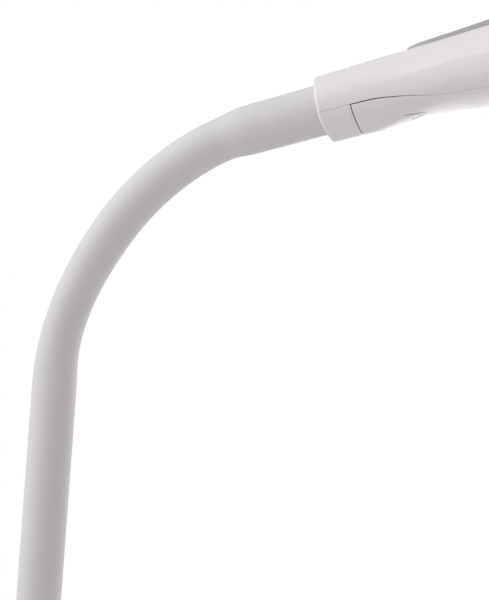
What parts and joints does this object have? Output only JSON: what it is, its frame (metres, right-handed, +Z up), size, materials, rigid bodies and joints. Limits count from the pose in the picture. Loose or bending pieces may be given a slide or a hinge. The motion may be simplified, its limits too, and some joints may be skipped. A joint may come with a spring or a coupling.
{
  "type": "arc floor lamp",
  "caption": "Floor lamp: weighted round base, straight pole, flexible neck in a soft sleeve arcing over to a slim LED head with a round collar and a raised top panel.",
  "frame": {"origin": "centre of the base's underside, on the floor", "axes": "+Z up along the pole; +X the way the neck arcs over; +Y completes the frame"},
  "size_m": [0.5519, 0.26, 1.4312],
  "materials": {
    "sleeve": "matte",
    "head_plastic": "satin",
    "panel_grey": "satin",
    "button_plastic": "satin",
    "cover_plastic": "satin",
    "stand_paint": "satin powder coat",
    "ring_plastic": "satin",
    "frosted_cover": "frosted",
    "pad_rubber": "matte",
    "plain_steel": "zinc plated",
    "bright_steel": "machined",
    "coil_steel": "wound wire",
    "cast_weight": "as cast",
    "black_plastic": "moulded",
    "inner_plastic": "moulded",
    "lead_jacket": "matte",
    "spreader_aluminium": "rolled",
    "board_white": "solder mask",
    "board_green": "solder mask",
    "chip_yellow": "phosphor"
  },
  "bodies": {
    "stand": {"base_pad": "pad_rubber", "base_plate": "plain_steel", "base_screws": "bright_steel", "base_weight": "cast_weight", "base_cover": "cover_plastic", "pole_stud": "bright_steel", "pole_nut": "bright_steel", "base_collar": "stand_paint", "power_jack": "black_plastic", "lower_pole": "stand_paint", "middle_pole": "stand_paint", "upper_pole": "stand_paint", "lower_coupling": "bright_steel", "upper_coupling": "bright_steel", "neck_socket": "ring_plastic", "stand_lead": "lead_jacket"},
    "neck_foot": {"sleeve_lower": "sleeve", "lower_ferrule": "bright_steel", "lower_ring": "bright_steel", "lead_lower": "lead_jacket"},
    "link_1": {"sleeve_link_1": "sleeve", "coil_link_1": "coil_steel", "lead_link_1": "lead_jacket"},
    "link_2": {"sleeve_link_2": "sleeve", "coil_link_2": "coil_steel", "lead_link_2": "lead_jacket"},
    "link_3": {"sleeve_link_3": "sleeve", "coil_link_3": "coil_steel", "lead_link_3": "lead_jacket"},
    "link_4": {"sleeve_link_4": "sleeve", "coil_link_4": "coil_steel", "lead_link_4": "lead_jacket"},
    "link_5": {"sleeve_link_5": "sleeve", "coil_link_5": "coil_steel", "lead_link_5": "lead_jacket"},
    "link_6": {"sleeve_link_6": "sleeve", "coil_link_6": "coil_steel", "lead_link_6": "lead_jacket"},
    "neck_top": {"sleeve_upper": "sleeve", "upper_ferrule": "bright_steel", "upper_ring": "bright_steel", "lead_upper": "lead_jacket"},
    "head": {"head_housing": "head_plastic", "collar_clamp": "head_plastic", "throat_cover": "head_plastic", "top_panel": "panel_grey", "swivel_block": "inner_plastic", "clamp_screws": "bright_steel", "head_screws": "bright_steel", "heat_spreader": "spreader_aluminium", "led_board": "board_white", "led_chips": "chip_yellow", "diffuser": "frosted_cover", "control_board": "board_green", "power_spring": "bright_steel", "dimmer_spring": "bright_steel", "head_lead": "lead_jacket"},
    "power_button": {"power_button": "button_plastic"},
    "dimmer_button": {"dimmer_button": "button_plastic"}
  },
  "joints": [
    {"name": "neck_turn", "type": "hinge", "parent": "stand", "child": "neck_foot", "pos_m": [0, 0, 1.03], "axis": [0, 0, 1], "range_deg": [-90, 90]},
    {"name": "neck_bend_1", "type": "hinge", "parent": "neck_foot", "child": "link_1", "pos_m": [0, 0, 1.2], "axis": [0, 1, 0], "range_deg": [-12.8, 4.2]},
    {"name": "neck_bend_2", "type": "hinge", "parent": "link_1", "child": "link_2", "pos_m": [0.00442, 0, 1.23068], "axis": [0, 1, 0], "range_deg": [-12.8, 4.2]},
    {"name": "neck_bend_3", "type": "hinge", "parent": "link_2", "child": "link_3", "pos_m": [0.0161, 0, 1.25944], "axis": [0, 1, 0], "range_deg": [-12.8, 4.2]},
    {"name": "neck_bend_4", "type": "hinge", "parent": "link_3", "child": "link_4", "pos_m": [0.03254, 0, 1.28581], "axis": [0, 1, 0], "range_deg": [-12.8, 4.2]},
    {"name": "neck_bend_5", "type": "hinge", "parent": "link_4", "child": "link_5", "pos_m": [0.05324, 0, 1.30896], "axis": [0, 1, 0], "range_deg": [-12.8, 4.2]},
    {"name": "neck_bend_6", "type": "hinge", "parent": "link_5", "child": "link_6", "pos_m": [0.07816, 0, 1.32747], "axis": [0, 1, 0], "range_deg": [-12.8, 4.2]},
    {"name": "neck_bend_7", "type": "hinge", "parent": "link_6", "child": "neck_top", "pos_m": [0.10675, 0, 1.33945], "axis": [0, 1, 0], "range_deg": [-12.8, 4.2]},
    {"name": "head_turn", "type": "hinge", "parent": "neck_top", "child": "head", "pos_m": [0.14523, 0, 1.34962], "axis": [0.9668, 0, 0.2554], "range_deg": [-90, 90]},
    {"name": "power_press", "type": "slide", "parent": "head", "child": "power_button", "axis": [0.2554, 0, -0.9668], "range_m": [0, 0.0012], "stiffness_N_per_m": 900, "springref_m": -0.0012, "deforming": ["power_spring"]},
    {"name": "dimmer_press", "type": "slide", "parent": "head", "child": "dimmer_button", "axis": [0.2554, 0, -0.9668], "range_m": [0, 0.0012], "stiffness_N_per_m": 900, "springref_m": -0.0012, "deforming": ["dimmer_spring"]}
  ],
  "couplings": [
    {"joint": "neck_bend_2", "follows": "neck_bend_1", "ratio": 1},
    {"joint": "neck_bend_3", "follows": "neck_bend_1", "ratio": 1},
    {"joint": "neck_bend_5", "follows": "neck_bend_4", "ratio": 1},
    {"joint": "neck_bend_6", "follows": "neck_bend_4", "ratio": 1},
    {"joint": "neck_bend_7", "follows": "neck_bend_4", "ratio": 1}
  ]
}
